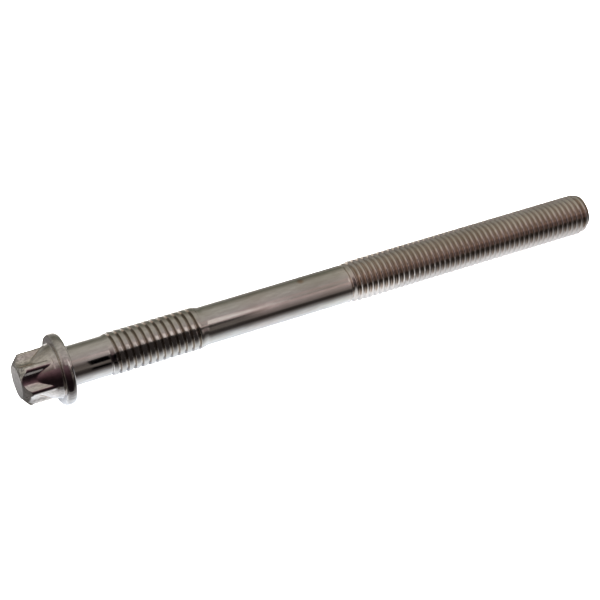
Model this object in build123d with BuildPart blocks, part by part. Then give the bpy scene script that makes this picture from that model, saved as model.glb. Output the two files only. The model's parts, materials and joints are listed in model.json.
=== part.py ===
from build123d import *
import math
import os

# A cylinder head bolt, forged and rolled in one piece. It lies as it comes to rest,
# on the crown of its flange's rim and on the last crest of its thread.
# Stations run along the bolt from the bearing face, positive towards the tip.
# All sizes are in millimetres and degrees.

# Along the bolt
length = 194.5
head_height = 15.8
upper_thread_start = 15.2
upper_thread_length = 29.6
thread_length = 91.5
thread_run_out = 4.6
tip_chamfer_length = 2.2

# Shank and lower thread
thread_diameter = 14.0
neck_diameter = 13.0
shank_diameter = 12.8
tip_diameter = 12.5
under_head_radius = 1.0
shank_blend_radius = 6.0

# Upper thread, a coarse ridge with broad crests
upper_pitch = 2.5
upper_depth = 1.15
upper_crest_width = 0.8
upper_run_in = 1.7
upper_ridge_lead = 1.6
upper_run_out = 2.2
flank_angle = 30.0

# Flange
flange_diameter = 23.4
flange_thickness = 3.4
flange_rise = 0.1
flange_rim_depth = 0.8

# Drive with six external lobes
lobe_count = 6
across_lobes = 16.8
across_valleys = 11.9
lobe_tip_radius = 1.2
end_face_diameter = 11.1
end_chamfer_length = 2.3
end_chamfer_radius = 1.0
groove_share = 0.405
ramp_share = 0.415
collar_diameter = 18.0
collar_blend_radius = 3.0

# The lobes stop this far inside the collar, and cutters reach this far past what they cut
margin = 0.05

# Radii
thread_radius = thread_diameter / 2
neck_radius = neck_diameter / 2
shank_radius = shank_diameter / 2
tip_radius = tip_diameter / 2
upper_root_radius = thread_radius - upper_depth
flange_radius = flange_diameter / 2
rim_foot_radius = flange_radius - flange_rim_depth
collar_radius = collar_diameter / 2
lobe_radius = across_lobes / 2
valley_radius = across_valleys / 2
end_face_radius = end_face_diameter / 2

# Stations, with the grooves and their ramp as shares of the drive
drive_end = -head_height
flange_top = -(flange_thickness + flange_rise)
groove_length = groove_share * (flange_top - drive_end)
ramp_length = ramp_share * (flange_top - drive_end)
ramp_start = drive_end + groove_length
ramp_end = ramp_start + ramp_length
neck_end = upper_thread_start - upper_run_in
upper_thread_end = upper_thread_start + upper_thread_length
shank_start = upper_thread_end + upper_run_out
thread_start = length - thread_length
last_crest = length - tip_chamfer_length

# How the bolt rests: the crown of the rim and the last crest touch the floor
rim_middle = -flange_thickness / 2
tilt = math.atan((flange_radius - thread_radius) / (last_crest - rim_middle))
past_tip = length * math.cos(tilt) + tip_radius * math.sin(tilt)
past_head = head_height * math.cos(tilt) + end_face_radius * math.sin(tilt)
bearing_x = (past_head - past_tip) / 2
bearing_z = last_crest * math.sin(tilt) + thread_radius * math.cos(tilt)

# The cross plane: its normal runs along the bolt to the tip, and its x is level
cross = Plane(
    origin=(bearing_x, 0, bearing_z),
    x_dir=(0, 1, 0),
    z_dir=(math.cos(tilt), 0, -math.sin(tilt)),
)
# The lengthwise plane: its x is the station, and its y is the radius
lengthwise = Plane(origin=cross.origin, x_dir=cross.z_dir, z_dir=-cross.x_dir)
axis = Axis(cross.origin, cross.z_dir)

# Rounded lobes and hollow valleys that meet tangentially
lobe_step = 360 / lobe_count
half_step_cosine = math.cos(math.radians(lobe_step / 2))
lobe_centre = lobe_radius - lobe_tip_radius
hollow_radius = (
    lobe_centre**2
    + valley_radius**2
    - 2 * lobe_centre * valley_radius * half_step_cosine
    - lobe_tip_radius**2
) / (2 * (lobe_tip_radius + lobe_centre * half_step_cosine - valley_radius))
hollow_centre = valley_radius + hollow_radius


def polar(radius, degrees):
    """A point of the cross plane."""
    return Vector(radius, 0).rotate(Axis.Z, degrees)


def meeting(lobe_degrees, valley_degrees):
    """Where a lobe's arc meets the hollow of the valley beside it."""
    centre = polar(lobe_centre, lobe_degrees)
    to_hollow = polar(hollow_centre, valley_degrees) - centre
    return centre + to_hollow.normalized() * lobe_tip_radius


# The ramp that ends the valleys goes on inside the drive, under half of the grooves
ramp_slope = (lobe_radius - valley_radius) / ramp_length
ramp_core_start = ramp_start - groove_length / 2
ramp_core_radius = valley_radius - groove_length / 2 * ramp_slope
collar_foot_radius = lobe_radius + margin
collar_foot = ramp_end + margin / ramp_slope

# The upper thread's ridge starts under the neck, with its base sunk into the root
flank = math.tan(math.radians(flank_angle))
ridge_sink = 0.2
ridge_half_crest = upper_crest_width / 2
ridge_half_base = ridge_half_crest + (upper_depth + ridge_sink) * flank
ridge_start = neck_end - upper_ridge_lead
ridge_turns = math.ceil((shank_start - ridge_start) / upper_pitch + 0.5)
neck_step = (neck_radius - upper_root_radius) / flank
shank_step = (shank_radius - upper_root_radius) / flank

# A barrel that tapers the ridge into the neck and the shank, and clears its crests between
run_in_slope = (thread_radius - neck_radius) / upper_run_in
run_out_slope = (thread_radius - shank_radius) / upper_run_out
barrel_reach = 2 * upper_pitch
barrel_radius = thread_radius + upper_depth


def ridge_turn(station):
    """One turn of the ridge, as far as it stands within the barrel."""
    centre = cross.offset(station).origin
    with BuildPart() as turn:
        with BuildLine() as path:
            Helix(upper_pitch, upper_pitch, upper_root_radius, center=centre, direction=cross.z_dir)
        outward = path.line @ 0 - centre
        with BuildSketch(Plane(path.line @ 0, x_dir=cross.z_dir, z_dir=cross.z_dir.cross(outward))):
            with BuildLine():
                Polyline(
                    (-ridge_half_base, -ridge_sink),
                    (-ridge_half_crest, upper_depth),
                    (ridge_half_crest, upper_depth),
                    (ridge_half_base, -ridge_sink),
                    close=True,
                )
            make_face()
        sweep(is_frenet=True)
        with BuildSketch(lengthwise):
            with BuildLine():
                Polyline(
                    (neck_end - barrel_reach, 0),
                    (neck_end - barrel_reach, neck_radius - barrel_reach * run_in_slope),
                    (upper_thread_start + upper_depth / run_in_slope, barrel_radius),
                    (upper_thread_end - upper_depth / run_out_slope, barrel_radius),
                    (shank_start + barrel_reach, shank_radius - barrel_reach * run_out_slope),
                    (shank_start + barrel_reach, 0),
                    close=True,
                )
            make_face()
        revolve(axis=axis, mode=Mode.INTERSECT)
    return turn.part


ridge = [ridge_turn(ridge_start + turn * upper_pitch) for turn in range(ridge_turns)]

with BuildPart() as bolt:
    # Drive: a lobed prism
    with BuildSketch(cross.offset(drive_end)):
        with BuildLine():
            for lobe in range(lobe_count):
                at = lobe * lobe_step
                valley = at + lobe_step / 2
                onto_lobe = meeting(at, at - lobe_step / 2)
                off_lobe = meeting(at, valley)
                onto_next = meeting(at + lobe_step, valley)
                ThreePointArc(onto_lobe, polar(lobe_radius, at), off_lobe)
                ThreePointArc(off_lobe, polar(valley_radius, valley), onto_next)
        make_face()
    extrude(amount=flange_top - drive_end)

    # Rounded chamfer round its free end
    with BuildSketch(lengthwise):
        with BuildLine():
            chamfered = FilletPolyline(
                (drive_end - margin, end_face_radius),
                (drive_end, end_face_radius),
                (drive_end + end_chamfer_length, lobe_radius + margin),
                (ramp_start, lobe_radius + margin),
                radius=(0, end_chamfer_radius),
            )
            Polyline(
                chamfered @ 1,
                (ramp_start, collar_radius),
                (drive_end - margin, collar_radius),
                chamfered @ 0,
            )
        make_face()
    revolve(axis=axis, mode=Mode.SUBTRACT)

    # Ramp, collar, flange, shank and tip in one turned section
    with BuildSketch(lengthwise):
        with BuildLine():
            head_side = FilletPolyline(
                (ramp_core_start, 0),
                (ramp_core_start, ramp_core_radius),
                (collar_foot, collar_foot_radius),
                (flange_top, collar_radius),
                (-flange_thickness, rim_foot_radius),
                radius=(0, collar_blend_radius, 0),
            )
            EllipticalCenterArc(
                (rim_middle, rim_foot_radius),
                flange_thickness / 2,
                flange_rim_depth,
                arc_size=180,
            )
            tip_side = FilletPolyline(
                (0, rim_foot_radius),
                (0, neck_radius),
                (neck_end, neck_radius),
                (neck_end + neck_step, upper_root_radius),
                (shank_start - shank_step, upper_root_radius),
                (shank_start, shank_radius),
                (thread_start - thread_run_out, shank_radius),
                (thread_start, thread_radius),
                (last_crest, thread_radius),
                (length, tip_radius),
                (length, 0),
                radius=(under_head_radius, 0, 0, 0, 0, shank_blend_radius, shank_blend_radius, 0, 0),
            )
            Line(tip_side @ 1, head_side @ 0)
        make_face()
    revolve(axis=axis)

    # Upper thread, turn by turn
    for turn in ridge:
        add(turn)
bolt.part.label = "bolt"

os.makedirs("parts", exist_ok=True)
export_step(bolt.part, "parts/bolt.step")
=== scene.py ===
import bpy
import json
import math
import numpy as np
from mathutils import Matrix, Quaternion, Vector


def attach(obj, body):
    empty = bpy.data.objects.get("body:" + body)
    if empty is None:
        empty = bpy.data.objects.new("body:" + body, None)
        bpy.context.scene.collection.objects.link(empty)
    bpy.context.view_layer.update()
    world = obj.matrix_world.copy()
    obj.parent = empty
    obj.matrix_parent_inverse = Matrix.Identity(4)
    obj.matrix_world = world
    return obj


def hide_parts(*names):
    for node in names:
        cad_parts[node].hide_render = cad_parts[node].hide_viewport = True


# A cylinder head bolt, one piece of steel that lies on its flange and its last crest.
# Stations run along the bolt from the bearing face, positive towards the tip.
# Sizes are in millimetres and degrees, and turn into metres where Blender takes them.

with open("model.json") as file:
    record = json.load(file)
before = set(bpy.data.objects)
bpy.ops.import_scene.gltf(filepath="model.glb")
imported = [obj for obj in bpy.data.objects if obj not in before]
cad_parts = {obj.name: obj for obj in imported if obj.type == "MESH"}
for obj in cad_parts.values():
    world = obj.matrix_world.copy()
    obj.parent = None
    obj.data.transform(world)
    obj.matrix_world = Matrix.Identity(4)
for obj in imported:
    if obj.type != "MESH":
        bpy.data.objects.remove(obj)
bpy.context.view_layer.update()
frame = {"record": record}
MM = 0.001

# Along the bolt
LENGTH = 194.5
HEAD_HEIGHT = 15.8
FLANGE_THICKNESS = 3.4
FLANGE_RISE = 0.1
UPPER_THREAD_START = 15.2
UPPER_THREAD_LENGTH = 29.6
UPPER_RUN_IN = 1.7
UPPER_RUN_OUT = 2.2
THREAD_LENGTH = 91.5
THREAD_RUN_OUT = 4.6
TIP_CHAMFER_LENGTH = 2.2

# Radii
THREAD_RADIUS = 7.0
NECK_RADIUS = 6.5
SHANK_RADIUS = 6.4
TIP_RADIUS = 6.25
FLANGE_RADIUS = 11.7
FLANGE_RIM_DEPTH = 0.8
UNDER_HEAD_RADIUS = 1.0
SHANK_BLEND_RADIUS = 6.0

# Drive
LOBE_COUNT = 6
LOBE_RADIUS = 8.4
VALLEY_RADIUS = 5.95
LOBE_TIP_RADIUS = 1.2
END_FACE_RADIUS = 5.55
END_CHAMFER_LENGTH = 2.3
END_CHAMFER_RADIUS = 1.0
GROOVE_SHARE = 0.405
RAMP_SHARE = 0.415
COLLAR_RADIUS = 9.0

# Upper thread, with broad crests. A flank is a wall's width by its height, the ridge starts
# under the neck, and the last wall stands before the shank
UPPER_PITCH = 2.5
UPPER_DEPTH = 1.15
UPPER_HALF_CREST = 0.7
UPPER_FLANK = 0.24
UPPER_LEAD = -0.2
RIDGE_LEAD = 1.6
LAST_WALL = 1.7

# Lower thread, which deepens over its fade
LOWER_PITCH = 2.0
LOWER_DEPTH = 1.227
LOWER_HALF_CREST = 0.125
LOWER_LEAD = 0.66
LOWER_FADE = 2.8
FLANK = math.tan(math.radians(30.0))

# Rounded edges. The last two are radii, and the others are how far two surfaces blend
DRIVE_EDGE = 0.22
UPPER_CREST_EDGE = 0.12
UPPER_ROOT_EDGE = 0.08
LOWER_CREST_EDGE = 0.05
LOWER_ROOT_EDGE = 0.25
TIP_EDGE = 0.06
END_FACE_EDGE = 0.12
COLLAR_FILLET = 0.25

# Stations
DRIVE_END = -HEAD_HEIGHT
FLANGE_TOP = -(FLANGE_THICKNESS + FLANGE_RISE)
RAMP_START = DRIVE_END + GROOVE_SHARE * (FLANGE_TOP - DRIVE_END)
RAMP_END = RAMP_START + RAMP_SHARE * (FLANGE_TOP - DRIVE_END)
COLLAR_START = RAMP_END + 0.75
NECK_END = UPPER_THREAD_START - UPPER_RUN_IN
UPPER_THREAD_END = UPPER_THREAD_START + UPPER_THREAD_LENGTH
SHANK_START = UPPER_THREAD_END + UPPER_RUN_OUT
THREAD_START = LENGTH - THREAD_LENGTH
LAST_CREST = LENGTH - TIP_CHAMFER_LENGTH
RIDGE_START = NECK_END - RIDGE_LEAD + UPPER_LEAD

# The bolt's own axes, from the record: along it to the tip, up from it, and level towards the front
mounts = {mount["name"]: mount for mount in frame["record"]["mounts"]}
ALONG = Vector(mounts["thread"]["axis"]).normalized()
UP = (Vector((0, 0, 1)) - ALONG * ALONG.z).normalized()
FRONT = ALONG.cross(UP)
on_axis = Vector(mounts["thread"]["pos_m"])
on_face = Vector(mounts["bearing_face"]["pos_m"])
BEARING = on_axis + ALONG * (on_face - on_axis).dot(ALONG)


def place(station, radius, degrees):
    """Points of the bolt in metres, from arrays of stations, radii and angles from UP to FRONT."""
    angle = np.radians(degrees)
    parts = (
        (np.asarray(station) * MM, ALONG),
        (radius * np.cos(angle) * MM, UP),
        (radius * np.sin(angle) * MM, FRONT),
    )
    return np.array(BEARING) + sum(size[..., None] * np.array(way) for size, way in parts)


def lower_of(a, b, rounding):
    """The lesser of two radii, rounded where they cross."""
    share = np.clip(0.5 + 0.5 * (b - a) / rounding, 0, 1)
    return b * (1 - share) + a * share - rounding * share * (1 - share)


def higher_of(a, b, rounding):
    """The greater of two radii, rounded where they cross."""
    return -lower_of(-a, -b, rounding)


# Columns of the mesh, closer together on the tips of the lobes
COLUMNS_PER_LOBE = 20
CROWDING = 0.5
LOBE_STEP = 360 / LOBE_COUNT
FIRST_LOBE = LOBE_STEP / 2
cell = np.arange(LOBE_COUNT * COLUMNS_PER_LOBE + 1) / COLUMNS_PER_LOBE - 0.5
COLUMNS = FIRST_LOBE + LOBE_STEP * (cell - CROWDING * np.sin(2 * np.pi * cell) / (2 * np.pi))


def lobed_radius(degrees):
    """The drive's outline: round lobes and hollow valleys that meet tangentially."""
    lobe_centre = LOBE_RADIUS - LOBE_TIP_RADIUS
    cosine = math.cos(math.radians(LOBE_STEP / 2))
    hollow = (
        lobe_centre**2 + VALLEY_RADIUS**2 - 2 * lobe_centre * VALLEY_RADIUS * cosine - LOBE_TIP_RADIUS**2
    ) / (2 * (LOBE_TIP_RADIUS + lobe_centre * cosine - VALLEY_RADIUS))
    hollow_centre = VALLEY_RADIUS + hollow
    aside = math.sin(math.radians(LOBE_STEP / 2)) * hollow_centre
    out = cosine * hollow_centre - lobe_centre
    reach = LOBE_TIP_RADIUS / math.hypot(out, aside)
    meeting = math.degrees(math.atan2(aside * reach, lobe_centre + out * reach))
    from_lobe = np.abs((degrees - FIRST_LOBE + LOBE_STEP / 2) % LOBE_STEP - LOBE_STEP / 2)
    a = np.radians(np.minimum(from_lobe, meeting))
    b = np.radians(LOBE_STEP / 2 - np.maximum(from_lobe, meeting))
    tip = lobe_centre * np.cos(a) + np.sqrt(LOBE_TIP_RADIUS**2 - (lobe_centre * np.sin(a)) ** 2)
    valley = hollow_centre * np.cos(b) - np.sqrt(hollow**2 - (hollow_centre * np.sin(b)) ** 2)
    return np.where(from_lobe < meeting, tip, valley)


def chamfer_radius(station):
    """The rounded chamfer round the drive's free end, up to just past the lobes."""
    top = LOBE_RADIUS + 0.05
    slope = (top - END_FACE_RADIUS) / END_CHAMFER_LENGTH
    turn = math.atan(slope)
    reach = END_CHAMFER_RADIUS * math.tan(turn / 2)
    corner = DRIVE_END + END_CHAMFER_LENGTH
    cone = END_FACE_RADIUS + (station - DRIVE_END) * slope
    past = np.clip(station - corner - reach, -END_CHAMFER_RADIUS, 0)
    arc = top - END_CHAMFER_RADIUS + np.sqrt(END_CHAMFER_RADIUS**2 - past**2)
    return np.where(station < corner - reach * math.cos(turn), cone, arc)


def ramp_radius(station):
    """The ramp at the end of the grooves."""
    slope = (LOBE_RADIUS - VALLEY_RADIUS) / (RAMP_END - RAMP_START)
    return VALLEY_RADIUS + (station - RAMP_START) * slope


def crossing(radius_at, level, low, high):
    """The station between low and high where a rising radius reaches each level."""
    stations = np.linspace(low, high, 400)
    return np.interp(level, radius_at(stations), stations)


def upper_thread_radius(station, degrees):
    """The upper thread, with its run-in from the neck and its run-out to the shank."""
    root = THREAD_RADIUS - UPPER_DEPTH
    phase = (station - RIDGE_START) / UPPER_PITCH - degrees / 360
    away = np.abs(phase - np.round(phase)) * UPPER_PITCH
    wall = THREAD_RADIUS - (away - UPPER_HALF_CREST) / UPPER_FLANK
    ridge = lower_of(wall, THREAD_RADIUS, UPPER_CREST_EDGE)
    neck_side = NECK_RADIUS - (station - NECK_END) * FLANK
    shank_side = SHANK_RADIUS - (SHANK_START - station) * FLANK
    core = np.maximum(np.maximum(neck_side, shank_side), root)
    core = np.where(station < NECK_END, NECK_RADIUS, np.where(station > SHANK_START, SHANK_RADIUS, core))
    run_in = NECK_RADIUS + (station - NECK_END) * (THREAD_RADIUS - NECK_RADIUS) / UPPER_RUN_IN
    run_out = SHANK_RADIUS + (SHANK_START - station) * (THREAD_RADIUS - SHANK_RADIUS) / UPPER_RUN_OUT
    ridge = lower_of(ridge, np.minimum(run_in, run_out), UPPER_ROOT_EDGE)
    last_wall = THREAD_RADIUS + (station - SHANK_START + LAST_WALL) / UPPER_FLANK
    closed = np.maximum(ridge, lower_of(last_wall, run_out, UPPER_ROOT_EDGE))
    return higher_of(core, np.where(station < SHANK_START, closed, ridge), UPPER_ROOT_EDGE)


def shank_radius(station):
    """The blank from the shank over its ramp to the crests, with blended ends."""
    slope = (THREAD_RADIUS - SHANK_RADIUS) / THREAD_RUN_OUT
    ramp = SHANK_RADIUS + (station - THREAD_START + THREAD_RUN_OUT) * slope
    blend = SHANK_BLEND_RADIUS * slope**2 * 0.5
    return lower_of(higher_of(SHANK_RADIUS, ramp, blend), THREAD_RADIUS, blend)


def lower_thread_radius(station, degrees):
    """The lower thread, which fades in on the ramp and ends in the tip's chamfer."""
    phase = (station - LOWER_LEAD) / LOWER_PITCH - degrees / 360
    away = np.abs(phase - np.round(phase)) * LOWER_PITCH
    wall = THREAD_RADIUS - (away - LOWER_HALF_CREST) / FLANK
    ridge = lower_of(wall, THREAD_RADIUS, LOWER_CREST_EDGE)
    ridge = higher_of(ridge, THREAD_RADIUS - LOWER_DEPTH, LOWER_ROOT_EDGE)
    fade = np.clip((station - THREAD_START + THREAD_RUN_OUT) / LOWER_FADE, 0, 1)
    threaded = shank_radius(station) - (THREAD_RADIUS - ridge) * fade
    chamfer = THREAD_RADIUS - (station - LAST_CREST) * (THREAD_RADIUS - TIP_RADIUS) / TIP_CHAMFER_LENGTH
    return lower_of(threaded, np.maximum(chamfer, TIP_RADIUS), TIP_EDGE)


rings = []


def ring(station, radius):
    """One more ring of the mesh, from the head to the tip."""
    width = np.ones(len(COLUMNS))
    rings.append((station * width, radius * width))


def arc_rings(centre_station, centre_radius, along, out, start, end, count):
    """Rings along an arc or an ellipse of the turned section, by its angle from the way to the tip."""
    for angle in np.radians(np.linspace(start, end, count)):
        ring(centre_station + along * math.cos(angle), centre_radius + out * math.sin(angle))


def screw_rings(start, end, pitch, steps, radius_at, origin):
    """Rings that climb a pitch in each turn, cut square at both ends. Steps are places in a pitch."""
    climb = pitch * COLUMNS / 360
    first = math.floor((start - pitch - origin) / pitch)
    last = math.ceil((end - origin) / pitch)
    for turn in range(first, last + 1):
        for step in steps:
            station = np.clip(origin + turn * pitch + step + climb, start, end)
            ring(station, radius_at(station, COLUMNS))


def on_the_way(start, end, shares):
    """Stations at some shares of the way from start to end."""
    return [start + (end - start) * share for share in shares]


def head_rings():
    """The end face, the drive, the ramp and the collar, with close rings where two surfaces meet."""
    for share in (0, 0.4, 0.8, 0.93):
        ring(DRIVE_END, END_FACE_RADIUS * share)
    edge_centre = DRIVE_END + END_FACE_EDGE
    arc_rings(edge_centre, END_FACE_RADIUS - END_FACE_EDGE, END_FACE_EDGE, END_FACE_EDGE, 180, 125, 4)
    outline = lobed_radius(COLUMNS)
    begin = DRIVE_END + END_FACE_EDGE / 2
    top = crossing(chamfer_radius, outline, DRIVE_END, RAMP_START)
    foot = crossing(ramp_radius, outline, RAMP_START - 1, RAMP_END + 1)
    close = (-0.3, -0.18, -0.09, 0, 0.09, 0.18, 0.3)
    reach = close[-1]
    shares = (0.15, 0.3, 0.45, 0.6, 0.75, 0.9)
    stops = on_the_way(begin, top - reach, (0, 0.25, 0.5, 0.75))
    stops += [top + step for step in close]
    stops += on_the_way(top + reach, foot - reach, shares)
    stops += [foot + step for step in close]
    stops += on_the_way(foot + reach, COLLAR_START, shares)
    for stop in stops:
        station = np.maximum(stop, begin)
        drive = lower_of(chamfer_radius(station), outline, DRIVE_EDGE)
        ring(station, higher_of(drive, ramp_radius(station), DRIVE_EDGE))
    for station in np.linspace(COLLAR_START, FLANGE_TOP - COLLAR_FILLET, 5):
        share = (station - RAMP_END) / (FLANGE_TOP - RAMP_END)
        ring(station, LOBE_RADIUS + (COLLAR_RADIUS - LOBE_RADIUS) * share)


def flange_rings():
    """The flange with its round rim, the bearing face and the fillet under the head."""
    fillet_foot = COLLAR_RADIUS + 0.22
    rim_foot = FLANGE_RADIUS - FLANGE_RIM_DEPTH
    arc_rings(FLANGE_TOP - COLLAR_FILLET, fillet_foot, COLLAR_FILLET, COLLAR_FILLET, -70, 0, 5)
    for share in (0.3, 0.6, 0.9):
        ring(FLANGE_TOP + FLANGE_RISE * share, fillet_foot + (rim_foot - fillet_foot) * share)
    arc_rings(-FLANGE_THICKNESS / 2, rim_foot, FLANGE_THICKNESS / 2, FLANGE_RIM_DEPTH, 180, 0, 17)
    inner = NECK_RADIUS + UNDER_HEAD_RADIUS
    for share in (0.03, 0.3, 0.6, 0.97):
        ring(0, rim_foot + (inner - rim_foot) * share)
    arc_rings(UNDER_HEAD_RADIUS, inner, UNDER_HEAD_RADIUS, UNDER_HEAD_RADIUS, 180, 270, 8)


def shaft_rings():
    """The neck, the upper thread, the shank, the lower thread and the tip."""
    gap = 0.3
    upper_start = NECK_END - 0.5
    upper_end = SHANK_START + 0.5
    lower_start = THREAD_START - THREAD_RUN_OUT - 2
    lower_end = LAST_CREST - 0.5
    for station in np.linspace(UNDER_HEAD_RADIUS + gap, upper_start - gap, 6):
        ring(station, NECK_RADIUS)
    # From the middle of a crest over its edge and down its wall, and then the root
    half = (0.3, 0.62, 0.7, 0.78, 0.94, 1.0)
    steps = [-step for step in reversed(half)] + [*half, 1.18, 1.32]
    screw_rings(upper_start, upper_end, UPPER_PITCH, steps, upper_thread_radius, RIDGE_START)
    for station in np.linspace(upper_end + gap, lower_start - gap, 12):
        ring(station, SHANK_RADIUS)
    # Over a crest, down its wall, across the root and up the next wall
    steps = (-0.16, -0.09, 0.09, 0.16, 0.62, 0.84, 1.16, 1.38)
    screw_rings(lower_start, lower_end, LOWER_PITCH, steps, lower_thread_radius, LOWER_LEAD)
    for station in np.linspace(lower_end, LENGTH - 0.02, 28):
        ring(station, lower_thread_radius(station, COLUMNS))
    for share in (0.97, 0.9, 0.5, 0):
        ring(LENGTH, lower_thread_radius(LENGTH, COLUMNS) * share)


def bolt_mesh():
    """One closed mesh from the rings, with its seams and collapsed faces welded."""
    head_rings()
    flange_rings()
    shaft_rings()
    stations = np.array([station for station, radius in rings])
    radii = np.array([radius for station, radius in rings])
    points = place(stations, radii, COLUMNS[None, :]).reshape(-1, 3)
    index = np.arange(stations.size).reshape(stations.shape)
    quads = np.stack([index[:-1, :-1], index[:-1, 1:], index[1:, 1:], index[1:, :-1]], axis=-1)
    # Points in the same small cell become one
    weld_cell = 2e-8
    cells = np.round(points / weld_cell).astype(np.int64)
    _, first, to = np.unique(cells, axis=0, return_index=True, return_inverse=True)
    faces = []
    for quad in to.reshape(-1)[quads.reshape(-1, 4)]:
        corners = [int(corner) for number, corner in enumerate(quad) if corner != quad[number - 1]]
        if len(set(corners)) == len(corners) and len(corners) > 2:
            faces.append(corners)
    mesh = bpy.data.meshes.new("bolt_steel")
    mesh.from_pydata(points[first].tolist(), [], faces)
    mesh.validate()
    mesh.shade_smooth()
    return mesh


def colour_ramp(tree, value, stops, low, high):
    """A colour by a value, through stops of the value with their colours."""
    span = tree.nodes.new("ShaderNodeMapRange")
    span.inputs["From Min"].default_value = low
    span.inputs["From Max"].default_value = high
    tree.links.new(value, span.inputs["Value"])
    ramp = tree.nodes.new("ShaderNodeValToRGB")
    tree.links.new(span.outputs[0], ramp.inputs["Fac"])
    elements = ramp.color_ramp.elements
    for number, (at, colour) in enumerate(stops):
        position = (at - low) / (high - low)
        stop = elements[number] if number < 2 else elements.new(position)
        stop.position = position
        stop.color = (*colour, 1)
    return ramp.outputs["Color"]


def length_ramp(tree, length, stops, reach):
    """A colour by a length or a place, with stops in millimetres up to the reach on both sides."""
    in_metres = [(at * MM, colour) for at, colour in stops]
    return colour_ramp(tree, length, in_metres, -reach * MM, reach * MM)


def math_node(tree, operation, *values):
    """One step of arithmetic on sockets or numbers."""
    node = tree.nodes.new("ShaderNodeMath")
    node.operation = operation
    for number, value in enumerate(values):
        if isinstance(value, (int, float)):
            node.inputs[number].default_value = value
        else:
            tree.links.new(value, node.inputs[number])
    return node.outputs[0]


def vector_node(tree, operation, output, first, second=None):
    """One step of vector arithmetic on a socket, with a fixed second vector where it takes one."""
    node = tree.nodes.new("ShaderNodeVectorMath")
    node.operation = operation
    tree.links.new(first, node.inputs[0])
    if second is not None:
        node.inputs[1].default_value = second
    return node.outputs[output]


def span_node(tree, value, low, high, start, end):
    """A value brought smoothly from one span to another, and held at its ends."""
    node = tree.nodes.new("ShaderNodeMapRange")
    node.interpolation_type = "SMOOTHSTEP"
    for name, number in (("From Min", low), ("From Max", high), ("To Min", start), ("To Max", end)):
        node.inputs[name].default_value = number
    tree.links.new(value, node.inputs["Value"])
    return node.outputs[0]


def length_span(tree, length, low, high, start, end):
    """A length or a place between two limits in millimetres, brought smoothly to another span."""
    return span_node(tree, length, low * MM, high * MM, start, end)


def noise_node(tree, where, scale, detail, stretch):
    """Cloudy noise over the surface, stretched along the axes."""
    mapping = tree.nodes.new("ShaderNodeMapping")
    mapping.inputs["Scale"].default_value = stretch
    tree.links.new(where, mapping.inputs["Vector"])
    noise = tree.nodes.new("ShaderNodeTexNoise")
    noise.inputs["Scale"].default_value = scale
    noise.inputs["Detail"].default_value = detail
    tree.links.new(mapping.outputs[0], noise.inputs["Vector"])
    return noise.outputs["Fac"]


def mix_colours(tree, blend, factor, first, second):
    """Two colours mixed by a factor."""
    node = tree.nodes.new("ShaderNodeMix")
    node.data_type = "RGBA"
    node.blend_type = blend
    for name, value in (("Factor", factor), ("A", first), ("B", second)):
        if isinstance(value, (int, float, tuple)):
            node.inputs[name].default_value = value
        else:
            tree.links.new(value, node.inputs[name])
    return node.outputs["Result"]


def noisy_colour(tree, factor, colour, noise, low, dark, high, light):
    """A colour multiplied by a noise that runs from dark to light."""
    shade = colour_ramp(tree, noise, ((low, dark), (high, light)), 0, 1)
    return mix_colours(tree, "MULTIPLY", factor, colour, shade)


# The steel's colour along X: the head from its end to the flange, the neck, the upper thread,
# the shank and the browner lower thread. The lighter neck is painted light, not the steel's own tone
STEEL_TINTS_AND_PAINTED_LIGHT = (
    (-105.3, (0.62, 0.59, 0.56)),
    (-104.7, (0.82, 0.76, 0.71)),
    (-100.0, (0.86, 0.77, 0.69)),
    (-96.0, (0.78, 0.69, 0.62)),
    (-92.0, (0.64, 0.58, 0.53)),
    # Painted light: the neck is made lighter where more light falls on it
    (-86.0, (0.72, 0.66, 0.60)),
    (-76.0, (0.74, 0.68, 0.62)),
    (-72.0, (0.66, 0.60, 0.54)),
    (-46.0, (0.64, 0.58, 0.51)),
    (-33.0, (0.66, 0.61, 0.55)),
    (-24.0, (0.63, 0.55, 0.49)),
    (-12.0, (0.64, 0.58, 0.52)),
    (6.0, (0.66, 0.60, 0.52)),
    (12.0, (0.76, 0.66, 0.575)),
    (105.5, (0.74, 0.64, 0.555)),
)


def groove_painted_shade(tree, where, along):
    """How much painted shade darkens a place: only in the threads' grooves, and less on top and underneath.
    """
    from_bearing = vector_node(tree, "SUBTRACT", "Vector", where, BEARING)
    across = vector_node(tree, "CROSS_PRODUCT", "Vector", from_bearing, ALONG)
    radius = vector_node(tree, "LENGTH", "Value", across)
    above = vector_node(tree, "DOT_PRODUCT", "Value", from_bearing, UP)
    upper_begins = length_span(tree, along, -75.5, -73.5, 0, 1)
    upper_ends = length_span(tree, along, -43.5, -42.5, 1, 0)
    in_upper = math_node(tree, "MULTIPLY", upper_begins, upper_ends)
    in_thread = math_node(tree, "ADD", in_upper, length_span(tree, along, 10.5, 13.5, 0, 1))
    # The painted shade starts under this radius, and a little deeper on the upper thread
    shade_radius = 6.7
    upper_deeper = 0.3
    groove = math_node(tree, "MULTIPLY_ADD", in_upper, -upper_deeper * MM, shade_radius * MM)
    depth = length_span(tree, math_node(tree, "SUBTRACT", radius, groove), -0.8, 0, 1, 0)
    groove_shade = math_node(tree, "MULTIPLY", in_thread, depth)
    groove_shade = math_node(tree, "MULTIPLY", groove_shade, length_span(tree, above, 5.6, 6.6, 1, 0.1))
    return math_node(tree, "MULTIPLY", groove_shade, length_span(tree, above, -3.6, -0.6, 0.2, 1))


def forging_marks(tree, along, height):
    """How strong the marks are: some on the whole head, and more on top of its free end."""
    near_end = length_span(tree, along, -103.5, -98.5, 1, 0)
    on_top = length_span(tree, height, 13, 18, 0, 1)
    on_head = length_span(tree, along, -89.5, -88, 0.22, 0)
    most = math_node(tree, "MULTIPLY", near_end, on_top)
    return math_node(tree, "MULTIPLY_ADD", most, 0.45, on_head)


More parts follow.
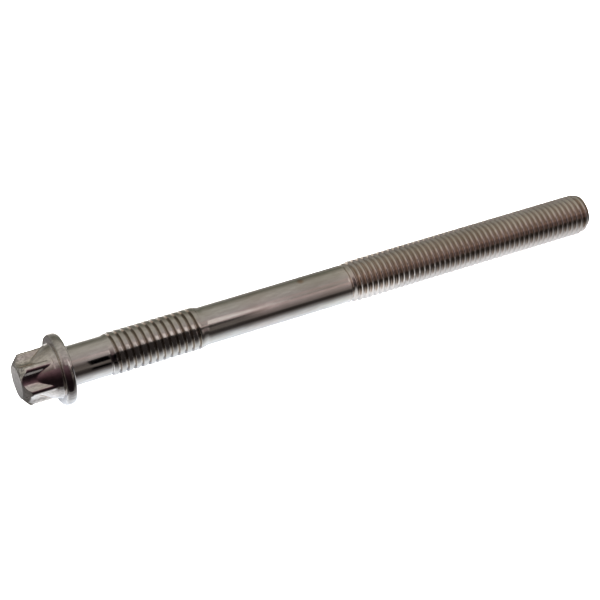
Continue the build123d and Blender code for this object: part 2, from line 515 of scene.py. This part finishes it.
def rust_spot(tree, where):
    """How strong the one spot of rust on the shank is."""
    middle = Vector((-6.4, -0.1, 16.05)) * MM
    return length_span(tree, vector_node(tree, "DISTANCE", "Value", where, middle), 0.3, 1.7, 0.7, 0)


def steel():
    """Oiled steel: browner on the rolled thread, forged and cloudy on the head, with painted shade in the
    grooves.
    """
    material = bpy.data.materials.new("steel")
    material.use_nodes = True
    tree = material.node_tree
    shader = tree.nodes["Principled BSDF"]
    where = tree.nodes.new("ShaderNodeTexCoord").outputs["Object"]
    split = tree.nodes.new("ShaderNodeSeparateXYZ")
    tree.links.new(where, split.inputs[0])
    along = split.outputs["X"]
    cloud = noise_node(tree, where, 90, 4.0, (0.5, 1, 1))
    grain = noise_node(tree, where, 900, 3.0, (0.25, 1, 1))
    mottle = noise_node(tree, where, 1300, 2.0, (0.6, 1, 1))
    groove_shade = groove_painted_shade(tree, where, along)
    marked = forging_marks(tree, along, split.outputs["Z"])

    # Tints along the bolt, with painted light on the neck
    colour = length_ramp(tree, along, STEEL_TINTS_AND_PAINTED_LIGHT, 106)
    colour = noisy_colour(tree, 1.0, colour, cloud, 0.3, (0.80, 0.78, 0.76), 0.7, (1, 1, 1))
    colour = noisy_colour(tree, 0.6, colour, grain, 0.35, (0.82, 0.80, 0.78), 0.65, (1, 1, 1))
    # Painted shade in the threads' grooves, darker where they are deep
    colour = mix_colours(tree, "MULTIPLY", groove_shade, colour, (0.62, 0.57, 0.52, 1))
    colour = noisy_colour(tree, marked, colour, mottle, 0.4, (0.50, 0.48, 0.45), 0.6, (1.24, 1.22, 1.20))
    colour = mix_colours(tree, "MIX", rust_spot(tree, where), colour, (0.34, 0.20, 0.12, 1))
    tree.links.new(colour, shader.inputs["Base Color"])
    shader.inputs["Metallic"].default_value = 1.0
    tree.links.new(span_node(tree, cloud, 0.3, 0.7, 0.1, 0.17), shader.inputs["Roughness"])

    bump = tree.nodes.new("ShaderNodeBump")
    bump.inputs["Strength"].default_value = 0.15
    bump.inputs["Distance"].default_value = 0.08 * MM
    tree.links.new(math_node(tree, "MULTIPLY_ADD", mottle, marked, grain), bump.inputs["Height"])
    tree.links.new(bump.outputs[0], shader.inputs["Normal"])
    return material


bolt = bpy.data.objects.new("head_bolt", bolt_mesh())
bpy.context.collection.objects.link(bolt)
bolt.data.materials.append(steel())
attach(bolt, "root")
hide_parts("bolt")


def flat_mesh(name, corners):
    """A mesh of one face."""
    mesh = bpy.data.meshes.new(name)
    mesh.from_pydata([tuple(size * MM for size in corner) for corner in corners], [], [(0, 1, 2, 3)])
    return mesh


# Floor
floor_material = bpy.data.materials.new("pale_floor")
floor_material.use_nodes = True
floor_shader = floor_material.node_tree.nodes["Principled BSDF"]
floor_shader.inputs["Base Color"].default_value = (0.9, 0.9, 0.9, 1)
floor_shader.inputs["Roughness"].default_value = 0.9
floor_shader.inputs["Specular IOR Level"].default_value = 0.0
side = 4000
floor_mesh = flat_mesh("floor", [(-side, -side, 0), (side, -side, 0), (side, side, 0), (-side, side, 0)])
floor = bpy.data.objects.new("floor", floor_mesh)
floor.data.materials.append(floor_material)
bpy.context.collection.objects.link(floor)
floor.visible_glossy = False

# World: soft studio walls, as a colour by the angle over the bolt from the front's horizon to the back's
WALLS = (
    (0, (0.16, 0.15, 0.15)),
    (24, (0.13, 0.12, 0.12)),
    (36, (0.27, 0.25, 0.27)),
    (45, (0.48, 0.46, 0.48)),
    (58, (0.56, 0.50, 0.52)),
    (66, (0.50, 0.49, 0.51)),
    (100, (0.51, 0.52, 0.51)),
    (122, (0.47, 0.48, 0.46)),
    (140, (0.28, 0.29, 0.26)),
    (157, (0.18, 0.19, 0.17)),
    (180, (0.40, 0.42, 0.40)),
)
LEFT_WALLS = (
    (0, (0.09, 0.07, 0.08)),
    (34, (0.12, 0.09, 0.10)),
    (46, (0.17, 0.13, 0.14)),
    (58, (0.32, 0.29, 0.30)),
    (74, (0.60, 0.57, 0.58)),
    (106, (0.50, 0.52, 0.50)),
    (140, (0.34, 0.35, 0.33)),
    (180, (0.30, 0.32, 0.33)),
)
world = bpy.data.worlds.new("studio")
bpy.context.scene.world = world
world.use_nodes = True
world_tree = world.node_tree
direction = world_tree.nodes.new("ShaderNodeTexCoord")
parts = world_tree.nodes.new("ShaderNodeSeparateXYZ")
world_tree.links.new(direction.outputs["Generated"], parts.inputs[0])
to_front = math_node(world_tree, "MULTIPLY", parts.outputs["Y"], -1.0)
angle = math_node(world_tree, "ARCTAN2", parts.outputs["Z"], to_front)
angle = math_node(world_tree, "MULTIPLY", angle, 180 / math.pi)
on_right = span_node(world_tree, parts.outputs["X"], -0.35, -0.05, 0, 1)
left_walls = colour_ramp(world_tree, angle, LEFT_WALLS, 0, 180)
walls = colour_ramp(world_tree, angle, WALLS, 0, 180)
background = world_tree.nodes["Background"]
world_tree.links.new(mix_colours(world_tree, "MIX", on_right, left_walls, walls), background.inputs["Color"])
background.inputs["Strength"].default_value = 1.0


# Broad lamps over, before, behind and beside the bolt, which light the floor and don't show in the steel
def lamp(name, position, width, depth, power):
    """A soft lamp that points at the bolt."""
    data = bpy.data.lights.new(name, "AREA")
    data.shape = "RECTANGLE"
    data.size = width * MM
    data.size_y = depth * MM
    data.energy = power
    thing = bpy.data.objects.new(name, data)
    bpy.context.collection.objects.link(thing)
    thing.location = Vector(position) * MM
    thing.rotation_euler = (-Vector(position)).to_track_quat("-Z", "Y").to_euler()
    thing.visible_glossy = False


lamp("overhead", (0, -200, 1200), 2000, 2000, 60)
lamp("front_fill", (0, -1400, 500), 2400, 500, 90)
lamp("back_fill", (0, 1400, 500), 2400, 500, 90)
lamp("left_fill", (-1400, 0, 500), 2400, 500, 60)


# Cards that only show in the steel, the largest of them with this reach
REACH = 600


def card(name, corners, fill):
    """A flat card from four corners, which glows in a colour made by a function of its nodes."""
    material = bpy.data.materials.new(name)
    material.use_nodes = True
    nodes = material.node_tree.nodes
    nodes.clear()
    glow = nodes.new("ShaderNodeEmission")
    fill(material.node_tree, glow)
    surface = nodes.new("ShaderNodeOutputMaterial")
    material.node_tree.links.new(glow.outputs[0], surface.inputs["Surface"])
    thing = bpy.data.objects.new(name, flat_mesh(name, corners))
    thing.data.materials.append(material)
    bpy.context.collection.objects.link(thing)
    thing.visible_camera = False
    thing.visible_diffuse = False
    thing.visible_shadow = False


def plain(*colour):
    """A plain glow."""

    def fill(tree, glow):
        glow.inputs["Color"].default_value = (*colour, 1)

    return fill


def shades(axis, stops):
    """A glow that changes along one axis."""

    def fill(tree, glow):
        where = tree.nodes.new("ShaderNodeTexCoord")
        split = tree.nodes.new("ShaderNodeSeparateXYZ")
        tree.links.new(where.outputs["Object"], split.inputs[0])
        tree.links.new(length_ramp(tree, split.outputs[axis], stops, REACH), glow.inputs["Color"])

    return fill


def level(name, left, right, front, back, height, fill):
    """A card that lies level."""
    corners = [(left, front, height), (right, front, height), (right, back, height), (left, back, height)]
    card(name, corners, fill)


def standing(name, y, left, right, foot, top, fill):
    """An upright card in front of the bolt."""
    card(name, [(left, y, foot), (right, y, foot), (right, y, top), (left, y, top)], fill)


# Brightness on the floor by Y: black in front, pale under the bolt, grey and then white behind
FLOOR_SHADES = (
    (-300, (0.15, 0.14, 0.14)),
    (-90, (0.06, 0.055, 0.055)),
    (-50, (0.04, 0.036, 0.036)),
    (-30, (0.04, 0.036, 0.036)),
    (-24.5, (0.15, 0.15, 0.155)),
    (-17, (0.34, 0.36, 0.40)),
    (-11, (0.90, 1.00, 1.12)),
    (-6, (1.28, 1.44, 1.64)),
    (-2, (1.15, 1.28, 1.48)),
    (1, (0.25, 0.26, 0.28)),
    (8, (0.14, 0.145, 0.15)),
    (16, (0.32, 0.33, 0.35)),
    (22, (0.34, 0.34, 0.35)),
    (32, (1.10, 1.12, 1.14)),
    (300, (1.10, 1.12, 1.14)),
)
# The same beside the head's end, where the floor is shaded
LEFT_SHADES = (
    (-34, (0.03, 0.03, 0.03)),
    (-18, (0.10, 0.10, 0.10)),
    (0, (0.19, 0.19, 0.20)),
    (8, (0.38, 0.38, 0.39)),
    (24, (0.52, 0.52, 0.53)),
    (100, (0.30, 0.30, 0.30)),
)
# The same on the lower thread's side
RIGHT_SHADES = (
    (-300, (0.15, 0.14, 0.14)),
    (-90, (0.06, 0.055, 0.055)),
    (-24, (0.045, 0.045, 0.045)),
    (-18, (0.10, 0.10, 0.11)),
    (-13, (0.26, 0.28, 0.31)),
    (-8, (0.60, 0.66, 0.74)),
    (-4, (1.05, 1.18, 1.36)),
    (2, (0.90, 1.00, 1.15)),
    (8, (0.25, 0.26, 0.27)),
    (300, (0.28, 0.29, 0.27)),
)
# Purple in the drive's grooves, by Z
FLANGE_SHADES = (
    (14, (0.012, 0.008, 0.010)),
    (20, (0.042, 0.024, 0.031)),
    (26, (0.140, 0.085, 0.110)),
    (32, (0.210, 0.150, 0.175)),
)
# A dark strip that fades out along the shank, by X
STRIP_SHADES = (
    (-30, (0.045, 0.040, 0.040)),
    (-22, (0.16, 0.14, 0.145)),
    (-14, (0.52, 0.46, 0.48)),
)
# Brighter towards the top, by Z
SHANK_SHADES = (
    (0, (0.15, 0.14, 0.15)),
    (10, (0.22, 0.20, 0.21)),
    (30, (0.31, 0.28, 0.30)),
    (56, (0.45, 0.41, 0.44)),
)

# What the bolt's lower half mirrors
level("floor_card", -REACH, REACH, -REACH, REACH, 0.3, shades("Y", FLOOR_SHADES))
level("left_floor", -REACH, -101, -REACH, 32, 0.6, shades("Y", LEFT_SHADES))
level("right_floor", 24, REACH, -REACH, REACH, 0.6, shades("Y", RIGHT_SHADES))
level("left_back", -REACH, -93, 22, REACH, 0.8, plain(0.24, 0.24, 0.24))

# Dark cards close in front of the bolt
NEAR_Y = -20
standing("flange_flag", NEAR_Y, -114, -86, 3, 31, shades("Z", FLANGE_SHADES))
standing("neck_flag", NEAR_Y, -79, -71.5, 16.5, 25.5, plain(0, 0, 0))
standing("neck_flag_low", NEAR_Y, -79, -71.5, 7.5, 11, plain(0, 0, 0))
standing("thread_flag", NEAR_Y, -71, -39, 8.5, 26, plain(0.032, 0.029, 0.030))
standing("shank_flag", NEAR_Y, -38.5, -13, 18.5, 23, shades("X", STRIP_SHADES))

# Dark, grey and pale cards farther in front, and the soft box that shines along the shank
standing("head_flag", -120, -165, -68, 0, 78, plain(0.008, 0.006, 0.008))
standing("shank_card", -119, 18, 66, 0.7, 68, shades("Z", SHANK_SHADES))
standing("grey_card", -119, 66, 320, 8, 68, plain(0.25, 0.21, 0.23))
standing("pale_card", -119, 8, 320, 68, 106, plain(0.60, 0.53, 0.56))
standing("soft_box", -121, -12, 46, 104, 215, plain(0.98, 0.95, 1.0))

# Camera at the photograph's viewing angle
camera = bpy.data.objects.new("camera", bpy.data.cameras.new("camera"))
bpy.context.collection.objects.link(camera)
camera.data.lens = 102.0
camera.data.sensor_width = 36.0
camera.location = Vector((-207.2, -404.21, 346.44)) * MM
looks_at = Vector((-5.87, 1.31, 7.18)) * MM
roll = Quaternion((0, 0, 1), math.radians(-1.359))
camera.rotation_mode = "QUATERNION"
camera.rotation_quaternion = (looks_at - camera.location).to_track_quat("-Z", "Y") @ roll
bpy.context.scene.camera = camera
bpy.context.scene.view_settings.view_transform = "Standard"
